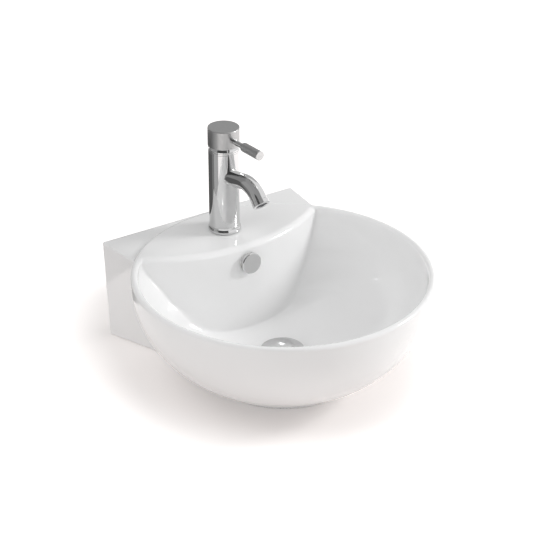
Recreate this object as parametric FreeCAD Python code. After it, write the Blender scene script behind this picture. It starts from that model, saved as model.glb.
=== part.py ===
import FreeCAD, Part
import math
import os

os.makedirs("parts", exist_ok=True)
V = FreeCAD.Vector

# Millimetres, front of the basin towards -Y, wall towards +Y, foot at z = 0.

# Ceramic basin
bowl_r = 210.0
wall_from_bowl = 219.0
rim_z = 160.0
rim_round = 4.6
rim_flat = 0.8
outer_mid_z = 148.0
foot_r = 106.0
foot_high = 7.7
foot_edge = 2.0
floor_z = 26.0
inner_power = 2.4
ledge_front = 88.0
ledge_arc_r = 263.0
ledge_lean = 0.09
ledge_round = 9.0
corner_most = 21.0
corner_tilt = 16.0
corner_rise = (30.0, 90.0)
corner_fall = (105.0, 155.0)
corner_sink = 0.4
corner_spare = 8.0
corner_back = 60.0
corner_heights = (34.0, 42.0, 50.0, 60.0, 70.0, 80.0, 90.0, 100.0, 110.0, 120.0, 130.0, 140.0, 148.0, 155.0)
block_top_z = 155.0
block_half_top = 163.3
block_half_low = 158.8
block_taper_top = 6.0
block_taper_low = 22.0
block_front = 60.0
block_round = 1.6
shell = 12.0
deck_thick = 14.0
recess_r = 90.0
recess_z = 14.0
boss_r = 45.0
boss_z = 9.0
rib_half = 22.0
rib_z = 4.5
channel_half = 14.0
channel_z = 11.5
channel_high = 6.0
channel_back = 94.0
channel_deep = 9.0
fixing_r = 7.0
fixing_half = 100.0
fixing_z = 105.0

# Overflow
overflow_z = 134.0
overflow_hole_r = 12.0
overflow_cap_r = 15.5
overflow_stand = 8.2

# Waste
waste_hole_r = 22.5
tail_r = 20.95
tail_end_z = 1.0
back_nut_flats = 60.0
waste_washer_r = 31.0
flange_r = 32.0
flange_thick = 2.8
seal_thick = 1.5
pipe_bore_r = 16.2
waste_bore_r = 17.6
hub_z = 9.0
hub_high = 4.0
barrel_r = 7.0
barrel_collar_r = 8.6
stem_gap = 0.3
stem_r = 4.3
plug_r = 31.0
plug_rise = 5.0
plug_high = 5.6

# Tap
tap_from_bowl = 150.0
tap_hole_r = 17.5
tap_gap = 0.4
pillar_r = 22.0
pillar_high = 124.4
base_r = 24.0
stud_r = 3.0
stud_half = 13.5
stud_below = 30.0
stud_in = 12.0
inlet_half = 7.5
inlet_r = 5.0
inlet_deep = 14.0
inlet_way_r = 4.6
inlet_way_high = 70.0
seat_high = 98.0
chamber_r = 17.7
nut_thread_r = 19.5
nut_high = 9.0
spout_r = 11.6
spout_bore_r = 7.5
spout_high = 89.5
spout_up = 12.0
spout_straight = 29.3
spout_bend_r = 41.7
spout_down = 43.4
spout_end = 5.2
collar_r = 12.2
shroud_high = 8.2
cap_r = 22.6
cap_gap = 0.7
cap_high = 26.6
cap_wall = 1.7
pivot_high = 124.0
lift_arm = 14.7
lever_high = 147.0
lever_up = 2.6
neck_r = 3.9
neck_long = 30.0
grip_r = 6.7
grip_long = 38.5
end_cap_thick = 1.6

# Derived places
bowl_y = (bowl_r - wall_from_bowl) / 2
wall_y = bowl_y + wall_from_bowl
outer_drop = (outer_mid_z - foot_high) / math.sqrt(1 - (foot_r / bowl_r) ** 2)
inner_r = bowl_r - 2 * rim_round - rim_flat
under_deck_z = rim_z - deck_thick
rib_front = back_nut_flats / math.sqrt(3) + 3.4
tap_y = bowl_y + tap_from_bowl
lean_angle = math.degrees(math.atan(ledge_lean))


def cyl(r, z0, z1, x=0.0, y=0.0):
    return Part.makeCylinder(r, z1 - z0, V(x, y, z0))


def ring(outer, inner, z0, z1, x=0.0, y=0.0):
    return cyl(outer, z0, z1, x, y).cut(cyl(inner, z0 - 1, z1 + 1, x, y))


def box(x0, x1, y0, y1, z0, z1):
    return Part.makeBox(x1 - x0, y1 - y0, z1 - z0, V(x0, y0, z0))


def turned(points, x=0.0, y=0.0):
    wire = Part.makePolygon([V(r, 0, z) for r, z in points + points[:1]])
    solid = Part.Face(wire).revolve(V(0, 0, 0), V(0, 0, 1), 360)
    solid.translate(V(x, y, 0))
    return solid


def hexagon(flats, z0, z1, x=0.0, y=0.0):
    r = flats / math.sqrt(3)
    turns = [math.radians(60 * i) for i in range(7)]
    corners = [V(x + r * math.cos(a), y + r * math.sin(a), z0) for a in turns]
    return Part.Face(Part.makePolygon(corners)).extrude(V(0, 0, z1 - z0))


def along(shape, origin, direction):
    placed = shape.copy()
    place = FreeCAD.Placement(origin, FreeCAD.Rotation(V(0, 0, 1), direction))
    placed.Placement = place.multiply(placed.Placement)
    return placed


def join(shapes):
    solid = shapes[0]
    for other in shapes[1:]:
        solid = solid.fuse(other)
    return solid.removeSplitter()


def take(solid, cuts):
    for other in cuts:
        solid = solid.cut(other)
    return solid


def save(name, shape):
    shape.exportStep("parts/" + name + ".step")
    print(name, len(shape.Solids), round(shape.Volume / 1000, 2), "cm3", shape.isValid())


# Basin outside: foot, bowl curve, rounded rim
def outer_solid():
    mid = V(0, 0, outer_mid_z)
    ellipse = Part.Ellipse(V(bowl_r, 0, outer_mid_z), V(0, 0, outer_mid_z - outer_drop), mid)
    turn = math.asin((outer_mid_z - foot_high) / outer_drop)
    curve = Part.ArcOfEllipse(ellipse, 0, turn).toShape()
    side = rim_z - rim_round
    half = rim_round * math.sqrt(0.5)
    top = bowl_r - rim_round
    rim = Part.Arc(V(bowl_r, 0, side), V(top + half, 0, side + half), V(top, 0, rim_z)).toShape()
    edges = [
        Part.makeLine(V(0, 0, 0), V(foot_r - foot_edge, 0, 0)),
        Part.makeLine(V(foot_r - foot_edge, 0, 0), V(foot_r, 0, foot_edge)),
        Part.makeLine(V(foot_r, 0, foot_edge), V(foot_r, 0, foot_high)),
        curve,
        Part.makeLine(V(bowl_r, 0, outer_mid_z), V(bowl_r, 0, side)),
        rim,
        Part.makeLine(V(top, 0, rim_z), V(0, 0, rim_z)),
        Part.makeLine(V(0, 0, rim_z), V(0, 0, 0)),
    ]
    wire = Part.Wire(Part.__sortEdges__(edges))
    solid = Part.Face(wire).revolve(V(0, 0, 0), V(0, 0, 1), 360)
    solid.translate(V(0, bowl_y, 0))
    return solid


# Basin inside: flattened bowl curve with the rim rounding on top
def inner_solid():
    depth = outer_mid_z - floor_z
    steps = 14
    points = []
    for i in range(steps + 1):
        t = math.pi / 2 * i / steps
        c = max(math.cos(t), 0.0) ** (2 / inner_power)
        s = math.sin(t) ** (2 / inner_power)
        points.append(V(inner_r * c if i < steps else 0.0, 0, outer_mid_z - depth * s))
    curve = Part.BSplineCurve()
    curve.interpolate(points, InitialTangent=V(0, 0, -1), FinalTangent=V(-1, 0, 0))
    side = rim_z - rim_round
    half = rim_round * math.sqrt(0.5)
    top = inner_r + rim_round
    edges = [
        Part.makeLine(V(0, 0, rim_z), V(top, 0, rim_z)),
        Part.Arc(V(top, 0, rim_z), V(top - half, 0, side + half), V(inner_r, 0, side)).toShape(),
        Part.makeLine(V(inner_r, 0, side), V(inner_r, 0, outer_mid_z)),
        curve.toShape(),
        Part.makeLine(V(0, 0, floor_z), V(0, 0, rim_z)),
    ]
    wire = Part.Wire(Part.__sortEdges__(edges))
    solid = Part.Face(wire).revolve(V(0, 0, 0), V(0, 0, 1), 360)
    solid.translate(V(0, bowl_y, 0))
    return solid


# Ledge behind the bowl, turned about an axis behind the wall; inset moves the face backwards
def ledge_solid(inset, top_z, rounding):
    low = -20.0
    corner = V(ledge_arc_r - inset + (rim_z - top_z) * ledge_lean, 0, top_z)
    foot = V(ledge_arc_r - inset + (rim_z - low) * ledge_lean, 0, low)
    edges = [Part.makeLine(V(0, 0, top_z), V(0, 0, low)), Part.makeLine(V(0, 0, low), foot)]
    if rounding:
        down = foot.sub(corner).normalize()
        reach = rounding / math.tan(math.radians(90 + lean_angle) / 2)
        first = corner.add(V(-reach, 0, 0))
        last = corner.add(down * reach)
        middle = first.add(V(0, 0, -rounding))
        bulge = middle.add(corner.sub(middle).normalize() * rounding)
        edges += [Part.makeLine(foot, last), Part.Arc(last, bulge, first).toShape()]
        edges += [Part.makeLine(first, V(0, 0, top_z))]
    else:
        edges += [Part.makeLine(foot, corner), Part.makeLine(corner, V(0, 0, top_z))]
    wire = Part.Wire(Part.__sortEdges__(edges))
    solid = Part.Face(wire).revolve(V(0, 0, 0), V(0, 0, 1), 360)
    solid.translate(V(0, bowl_y + ledge_front + ledge_arc_r, 0))
    return solid


def ease(ends, value):
    t = min(max((value - ends[0]) / (ends[1] - ends[0]), 0.0), 1.0)
    return t * t * (3 - 2 * t)


# Plan point on the left where a circle about the bowl axis meets one about the ledge axis
def meet(from_bowl, from_ledge):
    gap = ledge_front + ledge_arc_r
    y = (from_bowl ** 2 + gap ** 2 - from_ledge ** 2) / (2 * gap)
    return V(-math.sqrt(from_bowl ** 2 - y ** 2), bowl_y + y, 0)


# Slanted flank between ledge and bowl at one height: crisp at the ledge, running out on the bowl wall
def corner_wire(z):
    depth = outer_mid_z - floor_z
    share = max(outer_mid_z - z, 0.0) / depth
    size = (1 - share ** inner_power) ** (1 / inner_power)
    slant = math.hypot(1.0, (share / size) ** (inner_power - 1) * inner_r / depth)
    reach = corner_most * ease(corner_rise, z) * (1 - ease(corner_fall, z)) - corner_sink
    wall = inner_r * size
    arc = ledge_arc_r + (rim_z - z) * ledge_lean
    run = meet(wall, arc + 1 / math.tan(math.radians(corner_tilt))).sub(meet(wall - slant, arc))
    way = V(run).normalize()
    first = meet(wall - reach * slant, arc).sub(way * corner_spare)
    last = first.add(run * max(reach, 0.0)).add(way * 2 * corner_spare)
    behind = first.add(last).multiply(0.5).add(V(way.y, -way.x, 0) * corner_back)
    points = [V(p.x, p.y, z) for p in (first, last, behind, first)]
    return Part.makePolygon(points)


def corner_solid():
    return Part.makeLoft([corner_wire(z) for z in corner_heights], True, False)


# Rear block section at one height, drawn past the wall and then cut flat; inset is the thickness left round a hollow
def block_wire(z, inset):
    share = z / block_top_z
    past = wall_y + 5.0
    front = bowl_y + block_front
    half_wall = block_half_low + (block_half_top - block_half_low) * share
    low_front = block_half_low - (wall_y - front) * math.tan(math.radians(block_taper_low))
    top_front = block_half_top - (wall_y - front) * math.tan(math.radians(block_taper_top))
    half_front = low_front + (top_front - low_front) * share
    half_past = half_wall + (past - wall_y) * (half_wall - half_front) / (wall_y - front)
    return Part.makePolygon([
        V(inset - half_past, past, z), V(half_past - inset, past, z),
        V(half_front - inset, front, z), V(inset - half_front, front, z), V(inset - half_past, past, z),
    ])


def block_solid(z0, z1, inset):
    solid = Part.makeLoft([block_wire(z0, inset), block_wire(z1, inset)], True, True)
    return solid.common(box(-bowl_r, bowl_r, bowl_y, wall_y - inset, z0, z1))


outer = outer_solid()
block = block_solid(0.0, block_top_z, 0.0)
upright = [e for e in block.Edges if abs(e.Vertexes[0].Y - wall_y) < 0.1 and abs(e.Vertexes[-1].Y - wall_y) < 0.1
           and abs(e.Vertexes[0].Z - e.Vertexes[-1].Z) > 10]
block = block.makeFillet(block_round, upright)

overflow_face_y = bowl_y + ledge_front - (rim_z - overflow_z) * ledge_lean
overflow_at = V(0, overflow_face_y, overflow_z)
overflow_out = V(0, -1, ledge_lean).normalize()

corner = corner_solid()
far_corner = corner.mirror(V(0, 0, 0), V(1, 0, 0))
cavity = take(inner_solid(), [ledge_solid(0.0, rim_z, ledge_round), corner, far_corner])
hollow = block_solid(-1.0, under_deck_z, shell).common(ledge_solid(shell, rim_z, 0.0))
duct_back = bowl_y + channel_back + channel_deep
hollow = take(hollow, [
    cyl(foot_r + 2, -2, floor_z - 2, 0, bowl_y),
    box(-rib_half, rib_half, bowl_y + block_front, duct_back + 8, -2, rim_z),
])
recess = take(cyl(recess_r, -1, recess_z, 0, bowl_y), [
    cyl(boss_r, boss_z, recess_z + 1, 0, bowl_y),
    box(-rib_half, rib_half, bowl_y + rib_front, bowl_y + recess_r + 20, rib_z, recess_z + 1),
])
channel_top = overflow_z + overflow_hole_r + 1
channel = join([
    box(-channel_half, channel_half, duct_back - channel_deep, duct_back, channel_z, channel_top),
    box(-channel_half, channel_half, bowl_y + 12, duct_back, channel_z, channel_z + channel_high),
])
seat_z = floor_z - flange_thick - seal_thick + 0.3
basin = take(outer.fuse(block), [
    cavity, hollow, recess, channel,
    cyl(waste_hole_r, -1, floor_z + 5, 0, bowl_y),
    cyl(flange_r + 1.2, seat_z, floor_z + 4, 0, bowl_y),
    along(cyl(overflow_hole_r, -14, 8), overflow_at, overflow_out),
    cyl(tap_hole_r, under_deck_z - 2, rim_z + 2, 0, tap_y),
] + [
    along(cyl(fixing_r, -1, shell + 2), V(side * fixing_half, wall_y + 0.5, fixing_z), V(0, -1, 0))
    for side in (-1, 1)
]).removeSplitter()
save("basin_body", basin)

# Overflow cover and sleeve
sleeve = join([ring(overflow_hole_r - 0.05, 10.0, -8, 0), ring(14.0, 10.0, 0, 1.2)])
save("overflow_sleeve", along(sleeve, overflow_at, overflow_out))
cover = turned([
    (0, overflow_stand), (overflow_cap_r - 0.9, overflow_stand), (overflow_cap_r, overflow_stand - 0.9),
    (overflow_cap_r, 1.5), (overflow_cap_r - 1.3, 1.5), (overflow_cap_r - 1.3, overflow_stand - 1.8),
    (9.9, overflow_stand - 1.8), (9.9, -6), (8.6, -6), (8.6, overflow_stand - 1.8), (0, overflow_stand - 1.8),
])
windows = [box(-20, 20, -2.5, 2.5, 1.4, 5.0), box(-2.5, 2.5, -20, 20, 1.4, 5.0)]
save("overflow_cap", along(take(cover, windows), overflow_at, overflow_out))

# Waste fitting
flange_z = seat_z + seal_thick
top_z = flange_z + flange_thick
save("waste_flange_seal", ring(flange_r - 1.5, tail_r + 0.4, seat_z, flange_z, 0, bowl_y))
tail = turned([
    (pipe_bore_r, tail_end_z), (tail_r, tail_end_z), (tail_r, flange_z), (flange_r, flange_z),
    (flange_r, top_z - 1.0), (flange_r - 1.4, top_z),
    (waste_bore_r + 1.5, top_z), (waste_bore_r, top_z - 1.5),
    (waste_bore_r, hub_z), (pipe_bore_r, hub_z),
], 0, bowl_y)
hub_top = hub_z + hub_high
hub = ring(10.5, barrel_r, hub_z, hub_top, 0, bowl_y)
arms = []
for i in range(3):
    arm = box(9.0, waste_bore_r + 0.6, -1.8, 1.8, hub_z, hub_top)
    arm.rotate(V(0, 0, 0), V(0, 0, 1), 90 + 120 * i)
    arm.translate(V(0, bowl_y, 0))
    arms.append(arm)
slots = []
for i in range(2):
    slot = box(-tail_r - 2, tail_r + 2, -6, 6, hub_top + 0.6, channel_z + channel_high + 0.6)
    slot = slot.cut(cyl(waste_bore_r - 0.5, 0, 40))
    slot.rotate(V(0, 0, 0), V(0, 0, 1), 45 + 90 * i)
    slot.translate(V(0, bowl_y, 0))
    slots.append(slot)
save("waste_body", take(join([tail, hub] + arms), slots))
save("waste_lower_seal", ring(waste_washer_r, tail_r + 0.2, boss_z - 2, boss_z, 0, bowl_y))
save("waste_slip_washer", ring(waste_washer_r, tail_r + 0.2, boss_z - 3, boss_z - 2, 0, bowl_y))
back_nut = hexagon(back_nut_flats, tail_end_z + 0.2, boss_z - 3, 0, bowl_y)
back_nut = back_nut.cut(cyl(tail_r, 0, boss_z, 0, bowl_y))
save("waste_back_nut", back_nut)

barrel_top = top_z - 3.5
barrel_floor = hub_z + 1.5
barrel_collar = cyl(barrel_collar_r, hub_top, barrel_top, 0, bowl_y)
barrel = join([cyl(barrel_r, hub_z, hub_top, 0, bowl_y), barrel_collar])
barrel_bore = cyl(stem_r + stem_gap, barrel_floor, barrel_top + 1, 0, bowl_y)
barrel = take(barrel, [barrel_bore, cyl(1.2, 0, 20, 0, bowl_y)])
save("click_barrel", barrel)

plug_z = top_z + plug_rise + 0.2
stem_low = barrel_floor + plug_rise + 0.6
stem_bore_top = plug_z - 2.5
stem = join([cyl(stem_r, stem_low, plug_z, 0, bowl_y), cyl(3.0, plug_z, plug_z + 3.2, 0, bowl_y)])
save("plug_stem", stem.cut(cyl(3.0, stem_low - 1, stem_bore_top, 0, bowl_y)))
coil = Part.makeHelix(2.3, stem_bore_top - barrel_floor - 1.2, 2.3)
wire_end = Part.Wire(Part.makeCircle(0.45, V(2.3, 0, 0), V(0, 1, 0.16)))
spring = Part.Wire(coil).makePipeShell([wire_end], True, True)
spring.translate(V(0, bowl_y, barrel_floor + 0.6))
save("click_spring", spring)
ball = (plug_r ** 2 + (plug_high - 1.2) ** 2) / (2 * (plug_high - 1.2))
crown = cyl(plug_r, plug_z, plug_z + plug_high + 1, 0, bowl_y)
crown = crown.common(Part.makeSphere(ball, V(0, bowl_y, plug_z + plug_high - ball)))
seal_room = ring(plug_r - 2.6, 7.0, plug_z - 1, plug_z + 1.6, 0, bowl_y)
save("plug_dome", take(crown, [seal_room, cyl(3.0, plug_z - 1, plug_z + 3.2, 0, bowl_y)]))
save("plug_seal", ring(plug_r - 2.8, 22.0, plug_z - 0.1, plug_z + 1.6, 0, bowl_y))

# Tap pillar with flared base
base_z = rim_z + tap_gap
pillar_z = rim_z + pillar_high
chamber_z = rim_z + seat_high
nut_z = pillar_z - nut_high
flare = [
    (base_r - 1.2, base_z), (base_r - 0.3, base_z + 0.8), (base_r, base_z + 2.2), (base_r - 0.1, base_z + 4.0),
    (base_r - 0.6, base_z + 5.6), (base_r - 1.3, base_z + 7.2), (base_r - 1.8, base_z + 9.2),
    (pillar_r, base_z + 12),
]
pillar_head = [(pillar_r, pillar_z - 0.5), (pillar_r - 0.5, pillar_z), (0, pillar_z)]
pillar = turned([(0, base_z)] + flare + pillar_head, 0, tap_y)


def spout_line(d):
    return V(0, tap_y - d, rim_z + spout_high + (d - pillar_r) * math.tan(math.radians(spout_up)))


up_way = V(0, -math.cos(math.radians(spout_up)), math.sin(math.radians(spout_up)))
down_way = V(0, -math.cos(math.radians(spout_down)), -math.sin(math.radians(spout_down)))
pillar = take(pillar, [
    ring(20.6, tap_hole_r + 0.3, base_z - 1, base_z + 1.2, 0, tap_y),
    cyl(chamber_r, chamber_z, nut_z + 1, 0, tap_y),
    cyl(nut_thread_r, nut_z, pillar_z + 1, 0, tap_y),
    cyl(3.5, chamber_z - 12, chamber_z + 1, 0, tap_y - 7.5),
    along(cyl(spout_bore_r, 0, 12), spout_line(5.0), up_way),
    along(cyl(9.6, 0, 14), spout_line(13.0), up_way),
] + [cyl(inlet_r, base_z - 1, base_z + inlet_deep, side * inlet_half, tap_y) for side in (-1, 1)]
  + [cyl(inlet_way_r, base_z, rim_z + inlet_way_high, side * inlet_half, tap_y) for side in (-1, 1)]
  + [cyl(3.0, rim_z + inlet_way_high - 1, chamber_z + 1, side * inlet_half, tap_y) for side in (-1, 1)]
  + [cyl(stud_r, base_z - 1, base_z + stud_in, 0, tap_y + side * stud_half) for side in (-1, 1)])
save("tap_body", pillar)
save("tap_base_gasket", ring(20.4, tap_hole_r + 0.5, rim_z, base_z + 1.2, 0, tap_y))

# Bent spout
start = spout_line(13.0)
bend_start = spout_line(pillar_r + spout_straight * math.cos(math.radians(spout_up)))
rise = math.radians(spout_up)
centre = bend_start.sub(V(0, math.sin(rise), math.cos(rise)) * spout_bend_r)


def bend_point(angle):
    t = math.radians(angle)
    return centre.add(V(0, math.sin(t), math.cos(t)) * spout_bend_r)


bend_end = bend_point(-spout_down)
tip = bend_end.add(down_way * spout_end)
path = Part.Wire([
    Part.makeLine(start, bend_start),
    Part.Arc(bend_start, bend_point((spout_up - spout_down) / 2), bend_end).toShape(),
    Part.makeLine(bend_end, tip),
])


def pipe(radius):
    return path.makePipeShell([Part.Wire(Part.makeCircle(radius, start, up_way))], True, False)


spout = pipe(spout_r).cut(cyl(pillar_r, rim_z, pillar_z, 0, tap_y))
spigot = along(cyl(9.6, 0, 13.5), start, up_way)
mouth_r = 10.0
mouth = along(cyl(mouth_r, -6, 1), tip, down_way)
spout_entry = along(cyl(7.5, -1, 3), start, up_way)
save("tap_spout", take(join([spout, spigot]), [pipe(spout_bore_r), mouth, spout_entry]))

# Aerator in the mouth of the spout
save("aerator_seal", along(ring(mouth_r, 7.8, -6, -4.6), tip, down_way))
housing = turned([(8.2, -4.6), (mouth_r, -4.6), (mouth_r, 0), (collar_r - 0.6, 0),
                  (collar_r, 0.6), (collar_r, 6.4),
                  (collar_r - 0.8, 7.2), (9.2, 7.2), (8.2, 6.2)])
save("aerator_housing", along(housing, tip, down_way))
insert = cyl(8.2, -4.6, 5.6)
jets = [cyl(1.0, -6, 7)]
for count, radius in ((6, 3.2), (10, 5.9)):
    for i in range(count):
        turn = 2 * math.pi * i / count
        jets.append(cyl(0.9, -6, 7, radius * math.cos(turn), radius * math.sin(turn)))
save("aerator_insert", along(take(insert, jets), tip, down_way))

# Fixings below the deck
saddle_slot = box(-inlet_half - 6, inlet_half + 6, tap_y - 6, tap_y + 6, 0, rim_z)
studs = [
    cyl(stud_r, under_deck_z - stud_below, base_z + stud_in, 0, tap_y + side * stud_half)
    for side in (-1, 1)
]
save("fixing_studs", Part.makeCompound(studs))


def saddle(z0, z1):
    holes = [cyl(stud_r + 0.3, z0 - 1, z1 + 1, 0, tap_y + side * stud_half) for side in (-1, 1)]
    return take(cyl(24.0, z0, z1, 0, tap_y), [saddle_slot] + holes)


save("rubber_saddle_washer", saddle(under_deck_z - 3, under_deck_z))
save("steel_saddle_washer", saddle(under_deck_z - 5, under_deck_z - 3))
nuts = []
for side in (-1, 1):
    nut = hexagon(10.0, under_deck_z - 15, under_deck_z - 5, 0, tap_y + side * stud_half)
    nuts.append(nut.cut(cyl(stud_r, 0, rim_z, 0, tap_y + side * stud_half)))
save("fixing_nuts", Part.makeCompound(nuts))

# Mixer cartridge
port_places = [(-inlet_half, 0.0, 3.0), (inlet_half, 0.0, 3.0), (0.0, -7.5, 3.4)]


def ports(z0, z1):
    return [cyl(r, z0, z1, x, tap_y + y) for x, y, r in port_places]


seal_z = chamber_z + 1.0
disc_z = seal_z + 3.0
save("cartridge_base_seals", Part.makeCompound(
    [ring(r + 1.1, r + 0.1, chamber_z, seal_z, x, tap_y + y) for x, y, r in port_places]))
save("cartridge_base", take(cyl(17.4, seal_z, disc_z, 0, tap_y), ports(seal_z - 1, disc_z + 1)))
save("fixed_disc", take(cyl(13.0, disc_z, disc_z + 3, 0, tap_y), ports(disc_z - 1, disc_z + 4)))
housing_r = 17.4
neck_in = 10.3
save("cartridge_housing", turned([
    (13.2, disc_z), (housing_r, disc_z), (housing_r, nut_z), (14.0, nut_z), (14.0, nut_z + 7),
    (neck_in, nut_z + 7),
    (neck_in, nut_z - 2), (13.2, nut_z - 2),
], 0, tap_y))
pivot_z = rim_z + pivot_high
arm_z = pivot_z - lift_arm
slide_z = disc_z + 3.05
moving_top = arm_z + 0.3
moving = cyl(8.8, slide_z, moving_top, 0, tap_y)
kidney = cyl(4.4, slide_z - 1, slide_z + 1.0, 0, tap_y - 3.0)
pocket = cyl(3.0, arm_z - 2.9, moving_top + 1, 0, tap_y)
save("moving_disc", take(moving, [kidney, pocket]))
rotor_low = moving_top + 1.2
rotor_top = pivot_z + 7.5
rotor = turned([(0, rotor_low), (12.9, rotor_low), (12.9, nut_z - 2.3),
                (10.0, nut_z - 2.3), (10.0, rotor_top),
                (0, rotor_top)], 0, tap_y)
rotor_slot = box(-4.0, 4.0, tap_y - 7.0, tap_y + 7.0, rotor_low - 1, rotor_top + 1)
pin_r = 1.6
pin = along(cyl(pin_r, -9.2, 9.2), V(0, tap_y, pivot_z), V(1, 0, 0))
save("cartridge_rotor", take(rotor, [rotor_slot, pin]))
save("stem_pin", pin)
stem_half = 3.5
stem_cover = 6.2
stem_top = rim_z + pillar_high + shroud_high + cap_gap + cap_high - stem_cover
lever_stem = join([
    box(-stem_half, stem_half, tap_y - stem_half, tap_y + stem_half, pivot_z - 6, stem_top),
    cyl(2.0, arm_z, pivot_z - 5, 0, tap_y),
    Part.makeSphere(2.5, V(0, tap_y, arm_z)),
]).cut(along(cyl(pin_r + 0.08, -10, 10), V(0, tap_y, pivot_z), V(1, 0, 0)))
save("cartridge_stem", lever_stem)
save("cartridge_nut", turned([
    (14.3, nut_z), (nut_thread_r, nut_z), (nut_thread_r, pillar_z),
    (17.4, pillar_z), (17.4, pillar_z + 5), (14.3, pillar_z + 5),
], 0, tap_y))
shroud_z = pillar_z + shroud_high
save("shroud_ring", turned([
    (17.4, pillar_z), (pillar_r - 0.1, pillar_z), (pillar_r - 0.1, pillar_z + 1.8),
    (pillar_r - 0.8, pillar_z + 2.3),
    (pillar_r - 0.8, pillar_z + 3.2), (pillar_r - 0.1, pillar_z + 3.7), (pillar_r - 0.1, pillar_z + 4.4),
    (pillar_r - 1.9, shroud_z), (18.8, shroud_z), (18.8, pillar_z + 5.3), (17.4, pillar_z + 5.3),
], 0, tap_y))

# Handle: cap, lever and small parts
cap_z = shroud_z + cap_gap
cap_top = cap_z + cap_high
hub_low = cap_z + 3.4
ceiling = cap_top - 3.2
hub_r = 8.6
cap_in = cap_r - cap_wall
lever_z = rim_z + lever_high
lever_way = V(0, -math.cos(math.radians(lever_up)), math.sin(math.radians(lever_up)))
lever_at = V(0, tap_y - cap_r, lever_z)
hub_reach = -(cap_r - hub_r + 0.2)
cap = turned([(0, hub_low), (hub_r, hub_low), (hub_r, ceiling), (cap_in, ceiling), (cap_in, cap_z),
              (cap_r - 0.3, cap_z), (cap_r, cap_z + 0.3), (cap_r, cap_top - 0.8),
              (cap_r - 0.3, cap_top - 0.2), (cap_r - 0.9, cap_top), (0, cap_top)],
             0, tap_y)
grub_z = cap_z + 7.5
grub_r = 2.5
index_r = 3.2
grub_way = V(0, 1, 0)
cap = take(cap, [
    box(-stem_half - 0.05, stem_half + 0.05, tap_y - stem_half - 0.05, tap_y + stem_half + 0.05,
        hub_low - 1, stem_top + 0.3),
    along(cyl(3.0, hub_reach - 4.4, 1), lever_at, lever_way),
    along(cyl(neck_r, hub_reach + 1.0, 4), lever_at, lever_way),
    along(cyl(grub_r, stem_half, hub_r + 1), V(0, tap_y, grub_z), grub_way),
    along(cyl(index_r, hub_r + 2, cap_r + 1), V(0, tap_y, grub_z), grub_way),
])
save("handle_cap", cap)
grub = cyl(grub_r, stem_half + 0.05, hub_r - 0.4).cut(hexagon(2.5, hub_r - 2.6, hub_r))
save("grub_screw", along(grub, V(0, tap_y, grub_z), grub_way))
index = join([cyl(index_r, cap_in - 0.6, cap_r - 0.3), cyl(index_r - 0.8, cap_in - 2.5, cap_in)])
save("index_plug", along(index, V(0, tap_y, grub_z), grub_way))
rod = join([
    cyl(3.0, hub_reach - 3.6, hub_reach + 1.0),
    cyl(neck_r, hub_reach + 1.0, neck_long),
    cyl(3.0, neck_long, neck_long + 16),
])
save("lever_rod", along(rod, lever_at, lever_way))
grip_end = neck_long + grip_long
grip = turned([(3.0, neck_long), (grip_r - 1.6, neck_long), (grip_r, neck_long + 1.2), (grip_r, grip_end),
               (0, grip_end), (0, neck_long + 16), (3.0, neck_long + 16)])
save("lever_grip", along(grip, lever_at, lever_way))
end_cap = turned([(0, grip_end), (grip_r, grip_end), (grip_r, grip_end + end_cap_thick - 0.6),
                  (grip_r - 0.6, grip_end + end_cap_thick), (0, grip_end + end_cap_thick)])
save("lever_end_cap", along(end_cap, lever_at, lever_way))
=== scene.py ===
import math
import bpy
import numpy as np
from mathutils import Matrix, Vector


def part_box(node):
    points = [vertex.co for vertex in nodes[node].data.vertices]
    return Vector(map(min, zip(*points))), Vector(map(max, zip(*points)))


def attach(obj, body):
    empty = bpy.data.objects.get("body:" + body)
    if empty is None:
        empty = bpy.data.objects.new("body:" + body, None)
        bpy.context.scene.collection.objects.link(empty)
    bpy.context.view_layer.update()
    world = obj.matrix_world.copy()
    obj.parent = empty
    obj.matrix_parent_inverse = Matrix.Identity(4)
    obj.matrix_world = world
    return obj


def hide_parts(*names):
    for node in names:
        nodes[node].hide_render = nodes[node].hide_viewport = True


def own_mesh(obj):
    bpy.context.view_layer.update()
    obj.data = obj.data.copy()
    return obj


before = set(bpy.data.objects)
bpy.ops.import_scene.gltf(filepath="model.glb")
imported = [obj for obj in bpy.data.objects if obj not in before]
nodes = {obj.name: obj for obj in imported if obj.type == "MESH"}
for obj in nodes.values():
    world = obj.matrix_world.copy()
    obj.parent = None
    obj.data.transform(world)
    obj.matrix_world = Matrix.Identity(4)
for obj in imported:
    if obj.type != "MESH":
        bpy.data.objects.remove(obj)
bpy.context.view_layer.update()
mm = 0.001
print("frame loaded,", len(nodes), "nodes")

# places read from the frame, in metres
basinLow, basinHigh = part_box("basin_body")
bowlRadius = (basinHigh.x - basinLow.x) / 2
rimHeight = basinHigh.z
wallY = basinHigh.y
bowlAxis = Vector((0, basinLow.y + bowlRadius, 0))
pillarLow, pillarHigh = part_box("tap_body")
tapAxis = Vector((0, (pillarLow.y + pillarHigh.y) / 2, pillarLow.z))


def hexColour(text):
    channels = [int(text[i:i + 2], 16) / 255 for i in (1, 3, 5)]
    linear = [c / 12.92 if c <= 0.04045 else ((c + 0.055) / 1.055) ** 2.4 for c in channels]
    return (*linear, 1.0)


def addNode(tree, kind, settings=None, inputs=None):
    node = tree.nodes.new(kind)
    for key, value in (settings or {}).items():
        setattr(node, key, value)
    for key, value in (inputs or {}).items():
        if isinstance(value, bpy.types.NodeSocket):
            tree.links.new(value, node.inputs[key])
        else:
            node.inputs[key].default_value = value
    return node


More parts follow.
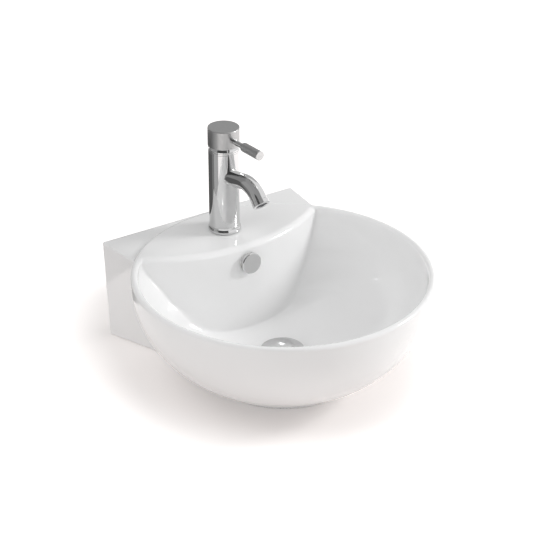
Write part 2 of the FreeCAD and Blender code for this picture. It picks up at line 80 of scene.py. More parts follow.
def startMaterial(name, finish):
    material = bpy.data.materials.new(name)
    material.use_nodes = True
    tree = material.node_tree
    tree.nodes.clear()
    shader = addNode(tree, "ShaderNodeBsdfPrincipled", None, finish)
    addNode(tree, "ShaderNodeOutputMaterial", None, {"Surface": shader.outputs["BSDF"]})
    place = addNode(tree, "ShaderNodeTexCoord")
    return material, tree, shader, place.outputs["Object"]


# roughness that drifts between two values in soft patches of the given size in millimetres
def driftingRoughness(tree, shader, place, patchSize, low, high):
    cloud = addNode(tree, "ShaderNodeTexNoise", None, {"Vector": place, "Scale": 1 / (patchSize * mm), "Detail": 3.0})
    drift = addNode(tree, "ShaderNodeMapRange", None,
                    {"Value": cloud.outputs["Fac"], "From Min": 0.3, "From Max": 0.7, "To Min": low, "To Max": high})
    tree.links.new(drift.outputs["Result"], shader.inputs["Roughness"])


# fine relief from a noise pattern of the given grain, both in millimetres
def grainRelief(tree, shader, place, grain, height):
    cloud = addNode(tree, "ShaderNodeTexNoise", None, {"Vector": place, "Scale": 1 / (grain * mm), "Detail": 2.0})
    relief = addNode(tree, "ShaderNodeBump", None,
                     {"Height": cloud.outputs["Fac"], "Distance": height * mm, "Strength": 1.0})
    tree.links.new(relief.outputs["Normal"], shader.inputs["Normal"])


def glazedCeramic():  # white glaze over fireclay, dipped and fired: clear, slightly wavy shine
    finish = {"Base Color": hexColour("#F8F8F8"), "Roughness": 0.08, "IOR": 1.5, "Specular IOR Level": 0.5}
    material, tree, shader, place = startMaterial("white glazed ceramic", finish)
    driftingRoughness(tree, shader, place, patchSize=60, low=0.06, high=0.10)
    grainRelief(tree, shader, place, grain=45, height=0.12)
    return material


def polishedChrome():  # chrome plate on polished brass: near mirror
    finish = {"Base Color": hexColour("#D6D6D6"), "Metallic": 1.0, "Roughness": 0.06}
    material, tree, shader, place = startMaterial("polished chrome plate", finish)
    driftingRoughness(tree, shader, place, patchSize=9, low=0.045, high=0.08)
    return material


def satinChrome(name, colour):  # blasted then plated: even soft grey with a fine speckle
    finish = {"Base Color": hexColour(colour), "Metallic": 1.0, "Roughness": 0.34}
    material, tree, shader, place = startMaterial(name, finish)
    driftingRoughness(tree, shader, place, patchSize=4, low=0.28, high=0.38)
    grainRelief(tree, shader, place, grain=1.4, height=0.05)
    return material


def blackRubber():  # moulded nitrile: dull black with a fine bloom
    finish = {"Base Color": hexColour("#1B1B1C"), "Roughness": 0.6, "IOR": 1.52}
    material, tree, shader, place = startMaterial("moulded black rubber", finish)
    driftingRoughness(tree, shader, place, patchSize=3, low=0.5, high=0.72)
    grainRelief(tree, shader, place, grain=0.5, height=0.03)
    return material


def mouldedPlastic(name, colour):  # acetal from a spark-eroded tool: fine matt grain
    finish = {"Base Color": hexColour(colour), "Roughness": 0.42, "IOR": 1.48}
    material, tree, shader, place = startMaterial(name, finish)
    driftingRoughness(tree, shader, place, patchSize=5, low=0.36, high=0.48)
    grainRelief(tree, shader, place, grain=0.4, height=0.02)
    return material


def machinedBrass():  # turned brass, uncoated: warm metal with a soft tarnish
    finish = {"Base Color": hexColour("#C9A65A"), "Metallic": 1.0, "Roughness": 0.28}
    material, tree, shader, place = startMaterial("machined brass", finish)
    driftingRoughness(tree, shader, place, patchSize=6, low=0.22, high=0.36)
    return material


def zincSteel():  # bright zinc plate: cool grey, faint crystal mottling
    finish = {"Base Color": hexColour("#B5B8BC"), "Metallic": 1.0, "Roughness": 0.32}
    material, tree, shader, place = startMaterial("zinc plated steel", finish)
    driftingRoughness(tree, shader, place, patchSize=4, low=0.26, high=0.4)
    return material


def lappedCeramic():  # lapped alumina disc: dense white, smooth and dull
    finish = {"Base Color": hexColour("#E9E6DF"), "Roughness": 0.25, "IOR": 1.76}
    material, tree, shader, place = startMaterial("lapped alumina", finish)
    driftingRoughness(tree, shader, place, patchSize=3, low=0.2, high=0.3)
    return material


finishes = {
    "glazed": glazedCeramic(),
    "chrome": polishedChrome(),
    "satin": satinChrome("satin chrome plate", "#AEAEAE"),
    "knurled": satinChrome("knurled satin chrome", "#A8A8A8"),
    "brushed": satinChrome("brushed chrome face", "#C8C8C8"),
    "rubber": blackRubber(),
    "pale": mouldedPlastic("moulded white acetal", "#E2E1DC"),
    "grey": mouldedPlastic("moulded grey acetal", "#5C5E62"),
    "brass": machinedBrass(),
    "zinc": zincSteel(),
    "alumina": lappedCeramic(),
}
finishOf = {
    "glazed": ["basin_body"],
    "chrome": ["overflow_cap", "waste_body", "plug_dome", "tap_body", "tap_spout", "aerator_housing", "shroud_ring",
               "lever_rod"],
    "satin": ["handle_cap"],
    "knurled": ["lever_grip"],
    "brushed": ["lever_end_cap"],
    "rubber": ["waste_flange_seal", "waste_lower_seal", "plug_seal", "tap_base_gasket", "rubber_saddle_washer",
               "cartridge_base_seals", "aerator_seal"],
    "pale": ["overflow_sleeve", "waste_slip_washer", "cartridge_base", "cartridge_rotor"],
    "grey": ["cartridge_housing", "aerator_insert", "index_plug"],
    "brass": ["waste_back_nut", "click_barrel", "plug_stem", "fixing_nuts", "cartridge_nut"],
    "zinc": ["fixing_studs", "steel_saddle_washer", "stem_pin", "cartridge_stem", "grub_screw", "click_spring"],
    "alumina": ["fixed_disc", "moving_disc"],
}
for finish, names in finishOf.items():
    for name in names:
        nodes[name].data.materials.clear()
        nodes[name].data.materials.append(finishes[finish])
print("materials made:", len(finishes))


def addObject(name, data):
    made = bpy.data.objects.new(name, data)
    bpy.context.scene.collection.objects.link(made)
    return made


# what the modifiers make of an object, as a plain mesh; the object itself goes
def plainMesh(host):
    mesh = bpy.data.meshes.new_from_object(host.evaluated_get(bpy.context.evaluated_depsgraph_get()))
    host.modifiers.clear()
    bpy.data.objects.remove(host)
    return mesh


def placePiece(name, mesh, body, replaced):
    piece = addObject(name, mesh)
    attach(piece, body)
    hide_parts(replaced)
    return piece


# named inputs of a geometry tree, whole numbers or sizes; returns their identifiers
def addInputs(tree, amounts):
    sockets = {}
    for name, amount in amounts.items():
        kind = "NodeSocketInt" if isinstance(amount, int) else "NodeSocketFloat"
        sockets[name] = tree.interface.new_socket(name, in_out="INPUT", socket_type=kind).identifier
    return sockets


# ends a geometry tree and runs it on a starting mesh; a wall, if given, is added inwards
def growMesh(tree, geometry, start, amounts, sockets, material, wall=0.0):
    real = addNode(tree, "GeometryNodeRealizeInstances", None, {"Geometry": geometry})
    coated = addNode(tree, "GeometryNodeSetMaterial", None,
                     {"Geometry": real.outputs["Geometry"], "Material": material})
    addNode(tree, "NodeGroupOutput", None, {"Geometry": coated.outputs["Geometry"]})
    host = addObject(tree.name, start)
    grow = host.modifiers.new("grow", "NODES")
    grow.node_group = tree
    for name, amount in amounts.items():
        grow[sockets[name]] = amount
    if wall:
        shell = host.modifiers.new("wall", "SOLIDIFY")
        shell.thickness, shell.offset = wall, -1.0
    return plainMesh(host)


# ceramic casting, all in millimetres about the bowl's axis at floor level
casting = {
    "outerMidZ": 148.0, "outerPower": 2.0, "rimRound": 4.6, "rimWall": 10.0, "floorZ": 26.0, "innerPower": 2.4,
    "footRadius": 106.0, "footHeight": 7.7, "footTop": 30.0, "footBlend": 1.5, "soleRound": 1.5,
    "ledgeFront": 88.0, "ledgeArc": 263.0, "ledgeLean": 0.09, "ledgeRound": 9.0, "ledgeRunOut": 8.0,
    "blendLeast": 1.5, "blendMost": 21.0, "blendTilt": 16.0, "blendRise": (30.0, 90.0), "blendFall": (105.0, 155.0),
    "blendEdges": (10.0, 3.0),
    "blockTop": 155.0, "blockHalfTop": 163.3, "blockHalfLow": 158.8, "blockTaperTop": 6.0, "blockTaperLow": 22.0,
    "blockFront": 60.0, "blockRound": 1.6, "blockBlend": 2.5,
    "shell": 12.0, "deckThick": 14.0, "innerRound": 4.0, "footKeep": 2.0, "hollowEdge": 2.0,
    "recessRadius": 90.0, "recessTop": 14.0, "bossRadius": 45.0, "bossZ": 9.0,
    "ribHalf": 22.0, "ribZ": 4.5, "ribFront": 38.0, "ribBack": 111.0,
    "wasteHole": 22.5, "seatRadius": 33.2, "seatZ": 22.0, "tapHole": 17.5, "drillSpare": 4.0,
    "fixingRadius": 7.0, "fixingHalf": 100.0, "fixingZ": 105.0,
    "overflowZ": 134.0, "overflowHole": 12.0, "overflowSink": 2.0, "overflowReach": 12.0, "holeEdge": 1.6,
    "grid": 2.4, "gridMargin": 8.0, "gridLow": -7.3, "slides": 4, "triangles": 188000,
}
rimTop = rimHeight / mm
outerRadius = bowlRadius / mm
wallBack = (wallY - bowlAxis.y) / mm
leanCos = math.cos(math.atan(casting["ledgeLean"]))


def roundMax(a, b, radius):  # cuts one solid by another and rounds the edge between them
    outside = np.hypot(np.maximum(a + radius, 0), np.maximum(b + radius, 0))
    return np.minimum(np.maximum(a, b), -radius) + outside


def roundMin(a, b, radius):  # joins two solids with a fillet
    return -roundMax(-a, -b, radius)


def smoothStep(low, high, value):
    t = np.clip((value - low) / (high - low), 0, 1)
    return t * t * (3 - 2 * t)


# distance to a bowl curve of the given power, straight above its middle height
def bowlDistance(r, z, radius, midZ, depth, power):
    a = np.maximum(r, 1e-6) / radius
    b = np.maximum(midZ - z, 0) / depth
    size = np.maximum((a ** power + b ** power) ** (1 / power), 1e-6)
    slope = np.hypot((a / size) ** (power - 1) / radius, (b / size) ** (power - 1) / depth)
    return (size - 1) / slope


def blockSides(x, y, z):  # sides of the rear block, which taper more towards its foot
    c = casting
    share = z / c["blockTop"]
    slopeTop = math.tan(math.radians(c["blockTaperTop"]))
    slopeLow = math.tan(math.radians(c["blockTaperLow"]))
    slope = slopeLow + (slopeTop - slopeLow) * share
    half = c["blockHalfLow"] + (c["blockHalfTop"] - c["blockHalfLow"]) * share - (wallBack - y) * slope
    return (np.abs(x) - half) / np.sqrt(1 + slope ** 2)


def outsideForm(r, y, z, side):  # bowl, foot and rim, joined to the rear block
    c = casting
    drop = (c["outerMidZ"] - c["footHeight"]) / math.sqrt(1 - (c["footRadius"] / outerRadius) ** 2)
    bowl = bowlDistance(r, z, outerRadius, c["outerMidZ"], drop, c["outerPower"])
    foot = np.maximum(r - c["footRadius"], z - c["footTop"])
    solid = roundMin(bowl, foot, c["footBlend"])
    solid = roundMax(solid, z - rimTop, c["rimRound"])
    block = roundMax(side, y - wallBack, c["blockRound"])
    block = roundMax(block, z - c["blockTop"], c["blockRound"])
    block = np.maximum(block, c["blockFront"] - y)
    solid = roundMin(solid, block, c["blockBlend"])
    return roundMax(solid, -z, c["soleRound"])


def ledgeFace(x, y, z):  # leaning face of the ledge, an arc from above
    c = casting
    fromArc = np.hypot(x, y - c["ledgeFront"] - c["ledgeArc"])
    return (fromArc - c["ledgeArc"] - (rimTop - z) * c["ledgeLean"]) * leanCos


def bowlSpace(r, z, ledge):  # inside of the bowl with a slanted flank at each end of the ledge, and its edge's radius
    c = casting
    depth = c["outerMidZ"] - c["floorZ"]
    inner = bowlDistance(r, z, outerRadius - c["rimWall"], c["outerMidZ"], depth, c["innerPower"])
    reach = c["blendLeast"] + c["blendMost"] * smoothStep(*c["blendRise"], z) * (1 - smoothStep(*c["blendFall"], z))
    tilt = math.radians(c["blendTilt"])
    flank = (inner + reach) * math.cos(tilt) - ledge * math.sin(tilt)
    wallEdge, ledgeEdge = c["blendEdges"]
    space = roundMax(roundMax(inner, flank, np.minimum(wallEdge, reach)), -ledge, np.minimum(ledgeEdge, reach))
    onLedge = smoothStep(-c["ledgeRunOut"], c["ledgeRunOut"], -ledge - inner)
    return space, c["rimRound"] + (c["ledgeRound"] - c["rimRound"]) * onLedge


def underDeck(x, y, z, r, side, ledge):  # hollow under the deck, on both sides of a rib
    c = casting
    inset = c["shell"]
    hollow = roundMax(side + inset, y - wallBack + inset, c["innerRound"])
    hollow = roundMax(hollow, z - rimTop + c["deckThick"], c["innerRound"])
    hollow = roundMax(hollow, ledge + inset, c["innerRound"])
    hollow = np.maximum(hollow, c["blockFront"] - y)
    keep = np.maximum(r - c["footRadius"] - c["footKeep"], z - c["floorZ"] + c["footKeep"])
    hollow = roundMax(hollow, -keep, c["innerRound"])
    rib = np.maximum(np.abs(x) - c["ribHalf"], y - c["ribBack"])
    return roundMax(hollow, -rib, c["innerRound"])


def footRecess(x, y, z, r):  # recess in the foot, round the boss of the waste and its bridge to the rib
    c = casting
    recess = np.maximum(r - c["recessRadius"], z - c["recessTop"])
    boss = np.maximum(r - c["bossRadius"], c["bossZ"] - z)
    bridge = np.maximum(np.maximum(np.abs(x) - c["ribHalf"], c["ribFront"] - y), c["ribZ"] - z)
    return np.maximum(recess, -np.minimum(boss, bridge))


def fittingHoles(x, y, z, r):  # waste and its seat, tap, wall bolts, overflow
    c = casting
    tapY = (tapAxis.y - bowlAxis.y) / mm
    faceY = c["ledgeFront"] - (rimTop - c["overflowZ"]) * c["ledgeLean"]
    along = ((faceY - y) + (z - c["overflowZ"]) * c["ledgeLean"]) * leanCos
    across = (z - c["overflowZ"]) - (faceY - y) * c["ledgeLean"]
    return [
        r - c["wasteHole"],
        np.maximum(r - c["seatRadius"], c["seatZ"] - z),
        np.maximum(np.hypot(x, y - tapY) - c["tapHole"], rimTop - c["deckThick"] - c["drillSpare"] - z),
        np.maximum(np.hypot(np.abs(x) - c["fixingHalf"], z - c["fixingZ"]) - c["fixingRadius"],
                   wallBack - c["shell"] - c["drillSpare"] - y),
        np.maximum(np.hypot(x, across) - c["overflowHole"], np.abs(along + c["overflowSink"]) - c["overflowReach"]),
    ]


def castingDistance(x, y, z):  # below zero inside the ceramic
    c = casting
    r = np.hypot(x, y)
    side = blockSides(x, y, z)
    ledge = ledgeFace(x, y, z)
    space, edge = bowlSpace(r, z, ledge)
    solid = roundMax(outsideForm(r, y, z, side), -space, edge)
    solid = roundMax(solid, -underDeck(x, y, z, r, side, ledge), c["hollowEdge"])
    solid = roundMax(solid, -footRecess(x, y, z, r), c["hollowEdge"])
    for hole in fittingHoles(x, y, z, r):
        solid = roundMax(solid, -hole, c["holeEdge"])
    return solid


# one point in each grid cell that the surface crosses, in the middle of the crossings on its edges
def cellPoints(values, cells):
    corners = [(i, j, k) for i in (0, 1) for j in (0, 1) for k in (0, 1)]
    window = {o: tuple(slice(d, d + n) for d, n in zip(o, cells)) for o in corners}
    filled = sum((values[window[o]] < 0).astype(int) for o in corners)
    active = (filled > 0) & (filled < len(corners))
    place = np.zeros((active.sum(), 3))
    crossings = np.zeros(active.sum())
    for start in corners:
        for axis in range(3):
            if start[axis]:
                continue
            end = tuple(1 if i == axis else v for i, v in enumerate(start))
            a, b = values[window[start]][active], values[window[end]][active]
            crossed = (a < 0) != (b < 0)
            point = np.tile(np.array(start, float), (len(a), 1))
            point[:, axis] = np.where(crossed, a / np.where(crossed, a - b, 1), 0)
            place[crossed] += point[crossed]
            crossings += crossed
    return active, place / crossings[:, None] + np.argwhere(active)


# one face for each grid edge that the surface crosses, between the points of the four cells round it
def cellFaces(inside, number):
    faces = []
    for axis in range(3):
        u, v = [i for i in range(3) if i != axis]
        one = tuple(slice(0, -1) if i == axis else slice(1, -1) for i in range(3))
        two = tuple(slice(1, None) if i == axis else slice(1, -1) for i in range(3))
        cell = np.argwhere(inside[one] != inside[two])
        cell[:, [u, v]] += 1
        leaving = inside[tuple(cell.T)]
        quad = []
        for du, dv in ((0, 0), (-1, 0), (-1, -1), (0, -1)):
            near = cell.copy()
            near[:, u] += du
            near[:, v] += dv
            quad.append(number[tuple(near.T)])
        quad = np.stack(quad, 1)
        turn = leaving if axis != 1 else ~leaving
        quad[~turn] = quad[~turn][:, ::-1]
        faces.append(quad)
    return np.concatenate(faces)


def skinOf(distance, low, high, step):  # skin of a solid given by a distance
    counts = [int(math.ceil((b - a) / step)) + 1 for a, b in zip(low, high)]
    axes = [a + step * np.arange(n) for a, n in zip(low, counts)]
    values = distance(*np.meshgrid(*axes, indexing="ij"))
    cells = tuple(n - 1 for n in counts)
    active, points = cellPoints(values, cells)
    number = np.full(cells, -1)
    number[active] = np.arange(active.sum())
    return np.array(low) + points * step, cellFaces(values < 0, number)


def gradientOf(distance, points, reach=0.05):
    slopes = []
    for axis in range(3):
        offset = np.zeros(3)
        offset[axis] = reach
        slopes.append((distance(*(points + offset).T) - distance(*(points - offset).T)) / (2 * reach))
    return np.stack(slopes, 1)


def slideOnto(distance, points, rounds, leastSlope=0.05, longest=1.0):  # moves each point onto the surface
    for _ in range(rounds):
        slope = gradientOf(distance, points)
        size = np.maximum((slope ** 2).sum(1), leastSlope)
        move = distance(*points.T) / size
        points = points - slope * np.clip(move, -longest, longest)[:, None]
    return points


# fewer faces where the mesh is flat, so that the rounded edges keep their fine cells
def thinMesh(vertices, faces, triangles):
    rough = bpy.data.meshes.new("ceramic_casting")
    rough.from_pydata(vertices.tolist(), [], faces.tolist())
    host = addObject("rough casting", rough)
    thin = host.modifiers.new("thin", "DECIMATE")
    thin.ratio = min(1.0, triangles / (2 * len(faces)))
    return plainMesh(host)


def makeCasting():
    c = casting
    margin = c["gridMargin"]
    half = outerRadius + margin
    low = (-half, -half, c["gridLow"])
    high = (half, wallBack + margin, rimTop + margin)
    vertices, faces = skinOf(castingDistance, low, high, c["grid"])
    mesh = thinMesh(slideOnto(castingDistance, vertices, c["slides"]), faces, c["triangles"])
    vertices = np.empty(3 * len(mesh.vertices))
    mesh.vertices.foreach_get("co", vertices)
    vertices = slideOnto(castingDistance, vertices.reshape(-1, 3), c["slides"])
    slope = gradientOf(castingDistance, vertices)
    normals = slope / np.linalg.norm(slope, axis=1)[:, None]
    mesh.vertices.foreach_set("co", (vertices * mm + np.array(bowlAxis)).ravel())
    mesh.materials.append(finishes["glazed"])
    mesh.shade_smooth()
    mesh.normals_split_custom_set_from_vertices(normals.tolist())
    placePiece("ceramic_casting", mesh, "basin", "basin_body")
    print("ceramic casting:", len(mesh.vertices), "vertices,", len(mesh.polygons), "faces")


makeCasting()

# knurled sleeve on the lever, in millimetres from the tap's foot; the lever rises a little towards its end
grip = {
    "root": (0.0, -22.6, 146.6), "rise": 2.6, "start": 30.0, "end": 68.5, "radius": 6.35, "plain": 1.6,
    "around": 40, "along": 34, "twist": 0.073, "tooth": 0.62, "toothHeight": 0.36, "toothSides": 4, "sides": 80,
}
sharpEdge = math.radians(30)


# teeth on a flat field of points, rolled round the sleeve with a twist that sets each row off from the last
def rollTeeth(tree, given):
    field = addNode(tree, "GeometryNodeMeshGrid", None,
                    {"Size X": given["Turn"], "Size Y": given["Covered"],
                     "Vertices X": given["Around"], "Vertices Y": given["Along"]})
    spot = addNode(tree, "GeometryNodeInputPosition").outputs["Position"]
    flat = addNode(tree, "ShaderNodeSeparateXYZ", None, {"Vector": spot}).outputs
    angle = addNode(tree, "ShaderNodeMath", {"operation": "MULTIPLY_ADD"},
                    {0: flat["Y"], 1: given["Twist"], 2: flat["X"]})
    wide = addNode(tree, "ShaderNodeMath", {"operation": "COSINE"}, {0: angle.outputs["Value"]})
    deep = addNode(tree, "ShaderNodeMath", {"operation": "SINE"}, {0: angle.outputs["Value"]})
    ringed = addNode(tree, "ShaderNodeCombineXYZ", None, {"X": wide.outputs["Value"], "Y": deep.outputs["Value"]})
    lift = addNode(tree, "ShaderNodeCombineXYZ", None, {"Z": flat["Y"]})
    rolled = addNode(tree, "ShaderNodeVectorMath", {"operation": "MULTIPLY_ADD"},
                     {0: ringed.outputs["Vector"], 1: given["Radius"], 2: lift.outputs["Vector"]})
    points = addNode(tree, "GeometryNodeSetPosition", None,
                     {"Geometry": field.outputs["Mesh"], "Position": rolled.outputs["Vector"]})
    outward = addNode(tree, "ShaderNodeVectorMath", {"operation": "MULTIPLY"}, {0: spot, 1: (1, 1, 0)})
    tooth = addNode(tree, "GeometryNodeMeshCone", None,
                    {"Vertices": grip["toothSides"], "Radius Top": 0.0, "Radius Bottom": given["Tooth"],
                     "Depth": given["Height"]})
    along = addNode(tree, "FunctionNodeAlignRotationToVector", {"axis": "X"}, {"Vector": (0, 0, 1)})
    facing = addNode(tree, "FunctionNodeAlignRotationToVector", {"axis": "Z", "pivot_axis": "X"},
                     {"Rotation": along.outputs["Rotation"], "Vector": outward.outputs["Vector"]})
    teeth = addNode(tree, "GeometryNodeInstanceOnPoints", None,
                    {"Points": points.outputs["Geometry"], "Instance": tooth.outputs["Mesh"],
                     "Rotation": facing.outputs["Rotation"]})
    return teeth.outputs["Instances"]


def makeGrip():
    g = grip
    tree = bpy.data.node_groups.new("knurled sleeve", "GeometryNodeTree")
    tree.interface.new_socket("Geometry", in_out="OUTPUT", socket_type="NodeSocketGeometry")
    length = (g["end"] - g["start"]) * mm
    turn = 2 * math.pi * (g["around"] - 1) / g["around"]
    amounts = {"Radius": g["radius"] * mm, "Length": length, "Covered": length - 2 * g["plain"] * mm,
               "Around": g["around"], "Along": g["along"], "Turn": turn, "Twist": g["twist"] / mm,
               "Tooth": g["tooth"] * mm, "Height": g["toothHeight"] * mm}
    sockets = addInputs(tree, amounts)
    given = addNode(tree, "NodeGroupInput").outputs
    teeth = rollTeeth(tree, given)
    sleeve = addNode(tree, "GeometryNodeMeshCylinder", None,
                     {"Vertices": g["sides"], "Side Segments": 1, "Radius": given["Radius"], "Depth": given["Length"]})
    both = addNode(tree, "GeometryNodeJoinGeometry")
    for part in (teeth, sleeve.outputs["Mesh"]):
        tree.links.new(part, both.inputs["Geometry"])
    blank = bpy.data.meshes.new("sleeve")
    mesh = growMesh(tree, both.outputs["Geometry"], blank, amounts, sockets, finishes["knurled"])
    rise = math.radians(g["rise"])
    way = Vector((0, -math.cos(rise), math.sin(rise)))
    middle = tapAxis + Vector(g["root"]) * mm + way * (g["start"] + g["end"]) / 2 * mm
    mesh.transform(Matrix.Translation(middle) @ way.to_track_quat("Z", "Y").to_matrix().to_4x4())
    mesh.set_sharp_from_angle(angle=sharpEdge)
    placePiece("knurled_grip", mesh, "handle", "lever_grip")
    print("knurled grip:", len(mesh.polygons), "faces")


makeGrip()


# spout as one smooth tube, because polished metal shows every facet; in millimetres from the tap's foot
spout = {
    "radius": 11.6, "wall": 1.6, "root": 16.0, "pillar": 22.0, "height": 89.1, "up": 12.0, "straight": 29.3,
    "bend": 41.7, "down": 43.4, "end": 5.2, "around": 96, "straightSteps": 10, "bendSteps": 40,
}


def makeSpout():
    s = spout
    up, down = math.radians(s["up"]), math.radians(s["down"])
    knee = Vector((0, -s["pillar"] - s["straight"] * math.cos(up), s["height"] + s["straight"] * math.sin(up)))
    middle = knee - Vector((0, math.sin(up), math.cos(up))) * s["bend"]
    rootZ = s["height"] + (s["root"] - s["pillar"]) * math.tan(up)
    root = Vector((0, -s["root"], rootZ))
    line = [root.lerp(knee, i / s["straightSteps"]) for i in range(s["straightSteps"])]
    for i in range(s["bendSteps"] + 1):
        turn = up - (up + down) * i / s["bendSteps"]
        line.append(middle + Vector((0, math.sin(turn), math.cos(turn))) * s["bend"])
    line.append(line[-1] + Vector((0, -math.cos(down), -math.sin(down))) * s["end"])
    wire = bpy.data.meshes.new("spout line")
    wire.from_pydata([tapAxis + point * mm for point in line], [(i, i + 1) for i in range(len(line) - 1)], [])
    tree = bpy.data.node_groups.new("bent tube", "GeometryNodeTree")
    tree.interface.new_socket("Geometry", in_out="OUTPUT", socket_type="NodeSocketGeometry")
    tree.interface.new_socket("Geometry", in_out="INPUT", socket_type="NodeSocketGeometry")
    amounts = {"Radius": s["radius"] * mm, "Around": s["around"]}
    sockets = addInputs(tree, amounts)
    given = addNode(tree, "NodeGroupInput").outputs
    path = addNode(tree, "GeometryNodeMeshToCurve", None, {"Mesh": given["Geometry"]})
    ring = addNode(tree, "GeometryNodeCurvePrimitiveCircle", None,
                   {"Resolution": given["Around"], "Radius": given["Radius"]})
    tube = addNode(tree, "GeometryNodeCurveToMesh", None,
                   {"Curve": path.outputs["Curve"], "Profile Curve": ring.outputs["Curve"]})
    mesh = growMesh(tree, tube.outputs["Mesh"], wire, amounts, sockets, finishes["chrome"], s["wall"] * mm)
    mesh.shade_smooth()
    mesh.set_sharp_from_angle(angle=sharpEdge)
    placePiece("polished_spout", mesh, "basin", "tap_spout")
    print("polished spout:", len(mesh.polygons), "faces")


makeSpout()


def makeSpring():
    piece = placePiece("soft_click_spring", nodes["click_spring"].data.copy(), "basin", "click_spring")
    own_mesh(piece)


makeSpring()
print("grip, spout and spring made")

# camera fitted to the photograph: rim, foot, outline and block corners
camera = {
    "place": (-1.0977, -1.5969, 1.2213),
    "right": (0.82648, -0.56298, 0.00592),
    "back": (-0.49421, -0.72039, 0.48661),
    "lens": 102.857,
    "sensor": 36.0,
    "clip": (0.1, 50.0),
}


def makeCamera():
    data = bpy.data.cameras.new("camera")
    data.lens = camera["lens"]
    data.sensor_width = camera["sensor"]
    data.clip_start, data.clip_end = camera["clip"]
    eye = addObject("camera", data)
    right, back = Vector(camera["right"]).normalized(), Vector(camera["back"]).normalized()
    up = back.cross(right).normalized()
    right = up.cross(back)
    turn = Matrix((right, up, back)).transposed().to_4x4()
    eye.matrix_world = Matrix.Translation(camera["place"]) @ turn
    bpy.context.scene.camera = eye


studio = {
    "horizonLight": 0.98, "zenithLight": 0.05, "aim": (0.0, 0.0, 0.1),
    # soft lamps: name, watts, width, place
    "lamps": [
        ("key softbox", 22.0, 0.55, (1.857, -0.866, 1.144)),
        ("left softbox", 12.0, 1.2, (-1.15, 0.0, 2.09)),
        ("top softbox", 8.0, 1.0, (0.1, -0.1, 2.4)),
    ],
    "floorColour": "#F8F3F1", "floorSize": 14.0,
    # glow of the floor where it is seen: rises over the near reach, and a little more over the far one
    "floorGlow": (0.15, 0.52), "glowCentre": (0.0, 0.08, 0.0), "glowShape": (1.0, 0.8, 1.0), "glowReach": (0.18, 0.28),
    "farGlow": 0.3, "farReach": (0.4, 1.5),
    # flags that only polished metal and glaze reflect: name, brightness, two opposite corners
    "flags": [
        ("left flag", 0.50, (-0.45, 0.02, 0.0), (-0.45, 0.30, 0.26)),
        ("rear left flag", 0.24, (-0.45, 0.30, 0.0), (-0.20, 0.30, 0.26)),
        ("rear flag", 0.12, (-0.20, 0.30, 0.0), (0.09, 0.30, 0.26)),
        ("front flag", 0.08, (-1.9, 0.1, 0.25), (-0.2, -1.6, 1.7)),
        ("wall flag", 0.55, (0.3, 1.3, 0.5), (1.6, 0.9, 1.6)),
        ("back flag", 0.28, (-1.1, 1.2, 0.2), (0.3, 1.3, 1.7)),
        ("side flag", 0.40, (-1.8, -0.3, 0.25), (-1.0, 1.3, 1.7)),
        ("ceiling flag", 0.36, (-1.8, -1.2, 1.6), (0.4, 1.2, 1.6)),
    ],
}


def makeLamp(name, power, size, place, aim):
    data = bpy.data.lights.new(name, "AREA")
    data.shape = "RECTANGLE"
    data.size = data.size_y = size
    data.energy = power
    lamp = addObject(name, data)
    lamp.location = place
    lamp.rotation_euler = (Vector(aim) - Vector(place)).to_track_quat("-Z", "Y").to_euler()


# upright or level card between two corners, seen only in reflections
def makeCard(name, brightness, low, high):
    upright = low[2] != high[2]
    second = (high[0], high[1], low[2]) if upright else (high[0], low[1], low[2])
    fourth = (low[0], low[1], high[2]) if upright else (low[0], high[1], low[2])
    mesh = bpy.data.meshes.new(name)
    mesh.from_pydata([low, second, high, fourth], [], [(0, 1, 2, 3)])
    finish = {"Base Color": (0, 0, 0, 1), "Roughness": 1.0, "Specular IOR Level": 0.0,
              "Emission Color": (1, 1, 1, 1), "Emission Strength": brightness}
    mesh.materials.append(startMaterial(name + " cloth", finish)[0])
    card = addObject(name, mesh)
    card.visible_camera = card.visible_diffuse = card.visible_shadow = card.visible_transmission = False


# 1 for rays from the camera, mirrors and glass, 0 for the light that falls on things
def seenDirectly(tree):
    path = addNode(tree, "ShaderNodeLightPath")
    seen = addNode(tree, "ShaderNodeMath", {"operation": "MAXIMUM"},
                   {0: path.outputs["Is Camera Ray"], 1: path.outputs["Is Glossy Ray"]})
    shown = addNode(tree, "ShaderNodeMath", {"operation": "MAXIMUM"},
                    {0: seen.outputs["Value"], 1: path.outputs["Is Transmission Ray"]})
    return shown.outputs["Value"]


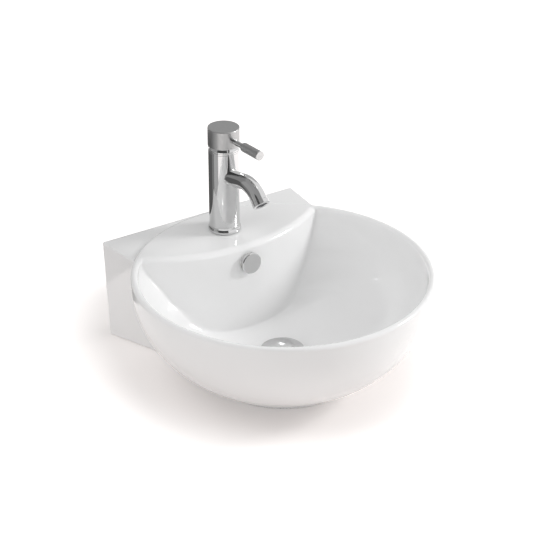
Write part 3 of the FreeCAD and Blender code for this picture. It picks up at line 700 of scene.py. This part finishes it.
# even light that is strongest at the horizon; white wherever the sky itself is seen
def makeSky():
    s = studio
    world = bpy.data.worlds.new("studio")
    bpy.context.scene.world = world
    world.use_nodes = True
    tree = world.node_tree
    tree.nodes.clear()
    shown = seenDirectly(tree)
    ray = addNode(tree, "ShaderNodeTexCoord")
    parts = addNode(tree, "ShaderNodeSeparateXYZ", None, {"Vector": ray.outputs["Generated"]})
    light = addNode(tree, "ShaderNodeMapRange", None,
                    {"Value": parts.outputs["Z"], "To Min": s["horizonLight"], "To Max": s["zenithLight"]})
    strength = addNode(tree, "ShaderNodeMapRange", None,
                       {"Value": shown, "To Min": light.outputs["Result"], "To Max": 1.0})
    sky = addNode(tree, "ShaderNodeBackground", None, {"Color": (1, 1, 1, 1), "Strength": strength.outputs["Result"]})
    addNode(tree, "ShaderNodeOutputWorld", None, {"Surface": sky.outputs["Background"]})


# floor that keeps the shadow near the basin and glows to white farther out
def makeFloor():
    s = studio
    half = s["floorSize"] / 2
    mesh = bpy.data.meshes.new("floor")
    mesh.from_pydata([(-half, -half, 0), (half, -half, 0), (half, half, 0), (-half, half, 0)], [], [(0, 1, 2, 3)])
    floor = addObject("floor", mesh)
    finish = {"Base Color": hexColour(s["floorColour"]), "Roughness": 0.9, "Specular IOR Level": 0.0,
              "Emission Color": (1, 1, 1, 1)}
    material, tree, shader, place = startMaterial("pale floor", finish)
    shown = seenDirectly(tree)
    offset = addNode(tree, "ShaderNodeVectorMath", {"operation": "SUBTRACT"}, {0: place, 1: s["glowCentre"]})
    shaped = addNode(tree, "ShaderNodeVectorMath", {"operation": "MULTIPLY"},
                     {0: offset.outputs["Vector"], 1: s["glowShape"]})
    away = addNode(tree, "ShaderNodeVectorMath", {"operation": "LENGTH"}, {0: shaped.outputs["Vector"]})
    near, far = s["glowReach"]
    dim, bright = s["floorGlow"]
    rise = addNode(tree, "ShaderNodeMapRange", {"interpolation_type": "SMOOTHSTEP"},
                   {"Value": away.outputs["Value"], "From Min": near, "From Max": far, "To Min": dim, "To Max": bright})
    near, far = s["farReach"]
    fade = addNode(tree, "ShaderNodeMapRange", None,
                   {"Value": away.outputs["Value"], "From Min": near, "From Max": far, "To Max": s["farGlow"]})
    total = addNode(tree, "ShaderNodeMath", {"operation": "ADD"},
                    {0: rise.outputs["Result"], 1: fade.outputs["Result"]})
    glow = addNode(tree, "ShaderNodeMath", {"operation": "MULTIPLY"}, {0: shown, 1: total.outputs["Value"]})
    tree.links.new(glow.outputs["Value"], shader.inputs["Emission Strength"])
    mesh.materials.append(material)


def makeStudio():
    for name, power, size, place in studio["lamps"]:
        makeLamp(name, power, size, place, studio["aim"])
    makeSky()
    makeFloor()
    for name, brightness, low, high in studio["flags"]:
        makeCard(name, brightness, low, high)


makeCamera()
makeStudio()
bpy.context.scene.view_settings.view_transform = "Standard"
print("camera and studio ready")
